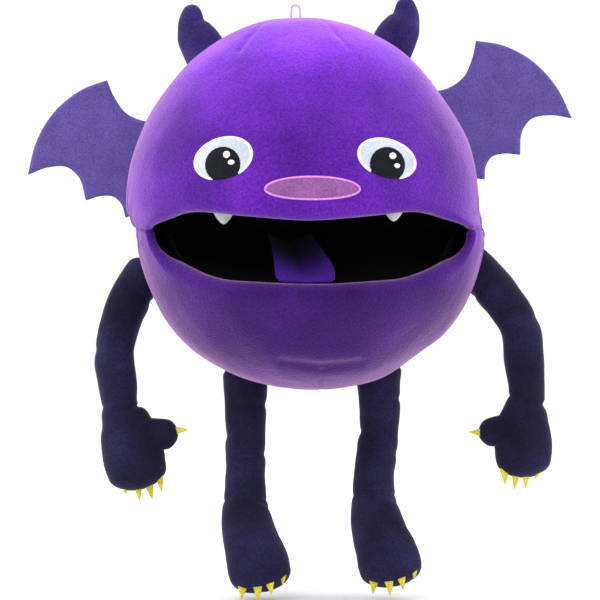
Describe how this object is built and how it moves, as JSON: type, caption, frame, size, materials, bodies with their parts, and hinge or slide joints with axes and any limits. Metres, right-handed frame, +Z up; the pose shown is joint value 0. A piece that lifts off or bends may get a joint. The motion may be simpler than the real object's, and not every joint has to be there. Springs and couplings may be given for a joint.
{
  "type": "moving mouth puppet",
  "caption": "Round plush hand puppet whose body opens as a mouth, with horns, bat wings, arms and legs.",
  "frame": {"origin": "middle of the hand opening's outer rim, at the back of the body", "axes": "+Y out of the hand opening, so the face looks along -Y; +Z up, +X to the right as seen from the front"},
  "size_m": [0.3372, 0.211, 0.3615],
  "materials": {
    "plush_violet": "short-pile plush with a strong velvet sheen",
    "wadding": "loose polyester fibre",
    "cavity_cloth": "plain woven polyester",
    "cuff_binding": "folded woven binding",
    "mouth_cloth": "matt black brushed knit",
    "palate_board": "plain matt plastic sheet",
    "eye_felt": "white felt with a satin-stitched edge",
    "pupil_felt": "black satin stitch",
    "nose_felt": "dusky pink felt",
    "nose_thread": "light pink satin stitch",
    "fang_felt": "white felt",
    "wing_felt": "thick heathered felt",
    "tongue_felt": "short-pile plush",
    "loop_cord": "soft twisted cord",
    "claw_felt": "yellow felt",
    "plush_dark": "short-pile plush with a velvet sheen"
  },
  "bodies": {
    "head": {"face_panel": "plush_violet", "nape_panel": "plush_violet", "rear_panel": "plush_violet", "head_wadding": "wadding", "rear_wadding": "wadding", "cavity_lining": "cavity_cloth", "belly_gusset": "plush_violet", "hand_cuff": "cuff_binding", "mouth_fold": "mouth_cloth", "palate_lining_upper": "mouth_cloth", "palate_board_upper": "palate_board", "finger_pocket": "cavity_cloth", "eye_white_left": "eye_felt", "eye_white_right": "eye_felt", "pupil_left": "pupil_felt", "pupil_right": "pupil_felt", "eye_glints": "eye_felt", "nose_patch": "nose_felt", "nose_rim": "nose_thread", "fang_left": "fang_felt", "fang_right": "fang_felt", "horn_left": "plush_dark", "horn_right": "plush_dark", "horn_stuffing_left": "wadding", "horn_stuffing_right": "wadding"},
    "jaw": {"chin_panel": "plush_violet", "jaw_wadding": "wadding", "jaw_lining": "cavity_cloth", "palate_lining_lower": "mouth_cloth", "palate_board_lower": "palate_board", "thumb_pocket": "cavity_cloth"},
    "tongue": {"tongue": "tongue_felt"},
    "loop": {"hanging_loop": "loop_cord"},
    "left_wing": {"wing_left": "wing_felt"},
    "left_shoulder": {"shoulder_left": "plush_dark"},
    "left_upper_arm": {"upper_arm_left": "plush_dark"},
    "left_forearm": {"forearm_left": "plush_dark"},
    "left_hand": {"mitt_left": "plush_dark", "finger_claws_left": "claw_felt", "thumb_claw_left": "claw_felt"},
    "left_thigh": {"thigh_left": "plush_dark"},
    "left_shin": {"shin_left": "plush_dark"},
    "left_foot": {"foot_left": "plush_dark", "toe_claws_left": "claw_felt"},
    "right_wing": {"wing_right": "wing_felt"},
    "right_shoulder": {"shoulder_right": "plush_dark"},
    "right_upper_arm": {"upper_arm_right": "plush_dark"},
    "right_forearm": {"forearm_right": "plush_dark"},
    "right_hand": {"mitt_right": "plush_dark", "finger_claws_right": "claw_felt", "thumb_claw_right": "claw_felt"},
    "right_thigh": {"thigh_right": "plush_dark"},
    "right_shin": {"shin_right": "plush_dark"},
    "right_foot": {"foot_right": "plush_dark", "toe_claws_right": "claw_felt"}
  },
  "joints": [
    {"name": "jaw_open", "type": "hinge", "parent": "head", "child": "jaw", "pos_m": [0, -0.11, 0.0084], "axis": [1, 0, 0], "range_deg": [-24, 20], "deforming": ["belly_gusset"]},
    {"name": "tongue_lift", "type": "hinge", "parent": "jaw", "child": "tongue", "pos_m": [0, -0.12428, 0.00054], "axis": [-1, 0, 0], "range_deg": [0, 18]},
    {"name": "loop_tilt", "type": "hinge", "parent": "head", "child": "loop", "pos_m": [-0.0063, -0.098, 0.1351], "axis": [1, 0, 0], "range_deg": [-70, 70], "stiffness_Nm_per_rad": 0.0004},
    {"name": "left_wing_fold", "type": "hinge", "parent": "head", "child": "left_wing", "pos_m": [-0.09455, -0.053, 0.04728], "axis": [-0.2273, 0, -0.9738], "range_deg": [-35, 60], "stiffness_Nm_per_rad": 0.01},
    {"name": "left_arm_swing", "type": "hinge", "parent": "head", "child": "left_shoulder", "pos_m": [-0.1045, -0.065, -0.023], "axis": [-1, 0, 0], "range_deg": [-35, 70], "stiffness_Nm_per_rad": 0.06},
    {"name": "left_arm_raise", "type": "hinge", "parent": "left_shoulder", "child": "left_upper_arm", "pos_m": [-0.1045, -0.065, -0.023], "axis": [0, 1, 0], "range_deg": [-10, 70], "stiffness_Nm_per_rad": 0.06},
    {"name": "left_elbow_bend", "type": "hinge", "parent": "left_upper_arm", "child": "left_forearm", "pos_m": [-0.1165, -0.072, -0.066], "axis": [-1, 0, 0], "range_deg": [-10, 60], "stiffness_Nm_per_rad": 0.05},
    {"name": "left_wrist_bend", "type": "hinge", "parent": "left_forearm", "child": "left_hand", "pos_m": [-0.112, -0.084, -0.102], "axis": [-1, 0, 0], "range_deg": [-28, 45], "stiffness_Nm_per_rad": 0.03},
    {"name": "left_hip_swing", "type": "hinge", "parent": "head", "child": "left_thigh", "pos_m": [-0.037, -0.0685, -0.0899], "axis": [-1, 0, 0], "range_deg": [-30, 62], "stiffness_Nm_per_rad": 0.06},
    {"name": "left_knee_bend", "type": "hinge", "parent": "left_thigh", "child": "left_shin", "pos_m": [-0.0368, -0.069, -0.124], "axis": [1, 0, 0], "range_deg": [-15, 65], "stiffness_Nm_per_rad": 0.05},
    {"name": "left_ankle_bend", "type": "hinge", "parent": "left_shin", "child": "left_foot", "pos_m": [-0.037, -0.071, -0.158], "axis": [-1, 0, 0], "range_deg": [-20, 15], "stiffness_Nm_per_rad": 0.04},
    {"name": "right_wing_fold", "type": "hinge", "parent": "head", "child": "right_wing", "pos_m": [0.0878, -0.053, 0.06695], "axis": [-0.414, 0, 0.9103], "range_deg": [-35, 60], "stiffness_Nm_per_rad": 0.01},
    {"name": "right_arm_swing", "type": "hinge", "parent": "head", "child": "right_shoulder", "pos_m": [0.106, -0.065, -0.022], "axis": [-1, 0, 0], "range_deg": [-35, 70], "stiffness_Nm_per_rad": 0.06},
    {"name": "right_arm_raise", "type": "hinge", "parent": "right_shoulder", "child": "right_upper_arm", "pos_m": [0.106, -0.065, -0.022], "axis": [0, -1, 0], "range_deg": [-10, 70], "stiffness_Nm_per_rad": 0.06},
    {"name": "right_elbow_bend", "type": "hinge", "parent": "right_upper_arm", "child": "right_forearm", "pos_m": [0.13, -0.072, -0.05], "axis": [-1, 0, 0], "range_deg": [-10, 60], "stiffness_Nm_per_rad": 0.05},
    {"name": "right_wrist_bend", "type": "hinge", "parent": "right_forearm", "child": "right_hand", "pos_m": [0.1332, -0.084, -0.097], "axis": [-1, 0, 0], "range_deg": [-28, 45], "stiffness_Nm_per_rad": 0.03},
    {"name": "right_hip_swing", "type": "hinge", "parent": "head", "child": "right_thigh", "pos_m": [0.0445, -0.0685, -0.0868], "axis": [-1, 0, 0], "range_deg": [-30, 62], "stiffness_Nm_per_rad": 0.06},
    {"name": "right_knee_bend", "type": "hinge", "parent": "right_thigh", "child": "right_shin", "pos_m": [0.0426, -0.069, -0.122], "axis": [1, 0, 0], "range_deg": [-15, 65], "stiffness_Nm_per_rad": 0.05},
    {"name": "right_ankle_bend", "type": "hinge", "parent": "right_shin", "child": "right_foot", "pos_m": [0.0414, -0.071, -0.1548], "axis": [-1, 0, 0], "range_deg": [-20, 15], "stiffness_Nm_per_rad": 0.04}
  ]
}
